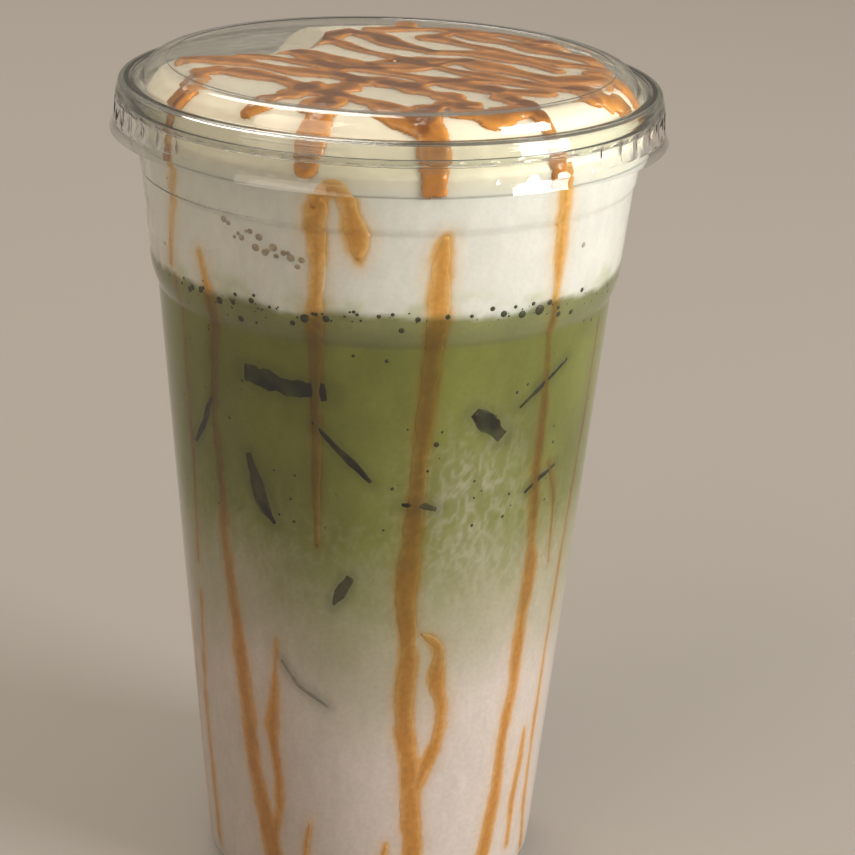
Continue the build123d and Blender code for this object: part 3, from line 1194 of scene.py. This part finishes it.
# ---------------------------------------------------------------- stage
class LATTE_OT_stage(bpy.types.Operator):
    """Sets the floor, the lamps and the camera."""

    bl_idname = "latte.stage"
    bl_label = "Stage"

    def execute(self, context):
        settings = context.scene.latte_stage
        scene = context.scene
        self.floor(scene, settings.floor)
        self.world(scene, settings.fill)
        self.lamp(scene, "bounce", (-0.80, -0.75, 1.05), 0.90, settings.bounce, "#fff0dd")
        self.lamp(scene, "rear", (-0.30, 0.95, 1.35), 0.60, settings.rear, "#fff6ea")
        self.lamp(scene, "key", (1.28, -0.57, 0.66), 0.60, settings.key, "#fffdf9")
        self.camera(scene)
        scene.view_settings.view_transform = "Standard"
        return {"FINISHED"}

    def floor(self, scene, colour):
        """A wide floor a hair below the cup."""
        half, gap = 3.0, 0.0002
        corners = [(-half, -half, 0), (half, -half, 0), (half, half, 0), (-half, half, 0)]
        mesh = bpy.data.meshes.new("floor")
        mesh.from_pydata(corners, [], [(0, 1, 2, 3)])
        floor = bpy.data.objects.new("floor", mesh)
        scene.collection.objects.link(floor)
        floor.location.z = -gap
        # Honed stone gives the eye an even pale ground that keeps a soft shadow and no glint.
        material, tree = new_material("Matte pale stone, honed")
        stone = node(
            tree,
            "ShaderNodeBsdfPrincipled",
            {"Base Color": (*colour, 1.0), "Roughness": 0.85, "Specular IOR Level": 0.2},
        )
        finish_material(tree, stone.outputs["BSDF"])
        mesh.materials.append(material)

    def world(self, scene, strength):
        """Soft light from all round, with a plain backdrop for the camera, mirrors and clear plastic."""
        world = bpy.data.worlds.new("studio")
        scene.world = world
        world.use_nodes = True
        tree = world.node_tree
        tree.nodes.clear()
        path = node(tree, "ShaderNodeLightPath")
        through = node(
            tree,
            "ShaderNodeMath",
            {0: path.outputs["Is Camera Ray"], 1: path.outputs["Is Transmission Ray"]},
            operation="MAXIMUM",
        )
        seen = node(
            tree,
            "ShaderNodeMath",
            {0: through.outputs["Value"], 1: path.outputs["Is Glossy Ray"]},
            operation="MAXIMUM",
        )
        soft_light = node(tree, "ShaderNodeBackground", {"Color": linear("#f1e4d6"), "Strength": strength})
        backdrop = node(tree, "ShaderNodeBackground", {"Color": linear("#8d877b"), "Strength": 1.0})
        both = node(
            tree,
            "ShaderNodeMixShader",
            {
                "Fac": seen.outputs["Value"],
                1: soft_light.outputs["Background"],
                2: backdrop.outputs["Background"],
            },
        )
        node(tree, "ShaderNodeOutputWorld", {"Surface": both.outputs["Shader"]})

    def lamp(self, scene, name, place, size, power, colour):
        """A square lamp, in metres and watts, that points at the middle of the cup."""
        cup_middle = Vector((0, 0, 0.09))
        light = bpy.data.lights.new(name, "AREA")
        light.shape = "SQUARE"
        light.size = size
        light.energy = power
        light.color = linear(colour)[:3]
        lamp = bpy.data.objects.new(name, light)
        scene.collection.objects.link(lamp)
        lamp.location = place
        aim = cup_middle - Vector(place)
        lamp.rotation_euler = aim.to_track_quat("-Z", "Y").to_euler()

    def camera(self, scene):
        """A camera close in front of the cup and a little above its lid, turned, tipped and rolled."""
        camera = bpy.data.cameras.new("camera")
        holder = bpy.data.objects.new("camera", camera)
        scene.collection.objects.link(holder)
        distance, height = 0.4126, 0.2454
        pan, tilt, roll = math.radians(1.246), math.radians(20.86), math.radians(2.2)
        camera.sensor_width = 36.0
        camera.lens = 96.84
        turn = Matrix.Rotation(-pan, 4, "Z") @ Matrix.Rotation(math.pi / 2 - tilt, 4, "X")
        turn = turn @ Matrix.Rotation(roll, 4, "Z")
        holder.matrix_world = Matrix.Translation((0, -distance, height)) @ turn
        scene.camera = holder


class LATTE_PT_panel(bpy.types.Panel):
    """Lists the latte's operators in the sidebar."""

    bl_label = "Iced matcha latte"
    bl_idname = "LATTE_PT_panel"
    bl_space_type = "VIEW_3D"
    bl_region_type = "UI"
    bl_category = "Latte"

    def draw(self, context):
        for operator in OPERATORS:
            self.layout.operator(operator.bl_idname)


GROUPS = {
    "latte_cup": LatteCup,
    "latte_lid": LatteLid,
    "latte_drink": LatteDrink,
    "latte_caramel": LatteCaramel,
    "latte_stage": LatteStage,
}
OPERATORS = (
    LATTE_OT_stage,
    LATTE_OT_cup,
    LATTE_OT_lid,
    LATTE_OT_drink,
    LATTE_OT_foam,
    LATTE_OT_cream,
    LATTE_OT_caramel,
    LATTE_OT_streaks,
    LATTE_OT_ice,
    LATTE_OT_flecks,
)


def register():
    """Adds the settings, the operators and the panel."""
    for name, group in GROUPS.items():
        bpy.utils.register_class(group)
        setattr(bpy.types.Scene, name, PointerProperty(type=group))
    for operator in OPERATORS:
        bpy.utils.register_class(operator)
    bpy.utils.register_class(LATTE_PT_panel)


def unregister():
    """Takes them all away again."""
    bpy.utils.unregister_class(LATTE_PT_panel)
    for operator in reversed(OPERATORS):
        bpy.utils.unregister_class(operator)
    for name, group in GROUPS.items():
        delattr(bpy.types.Scene, name)
        bpy.utils.unregister_class(group)


def main():
    """Builds the whole latte and its stage."""
    register()
    for operator in OPERATORS:
        area, name = operator.bl_idname.split(".")
        getattr(getattr(bpy.ops, area), name)()


if __name__ == "__main__":
    main()
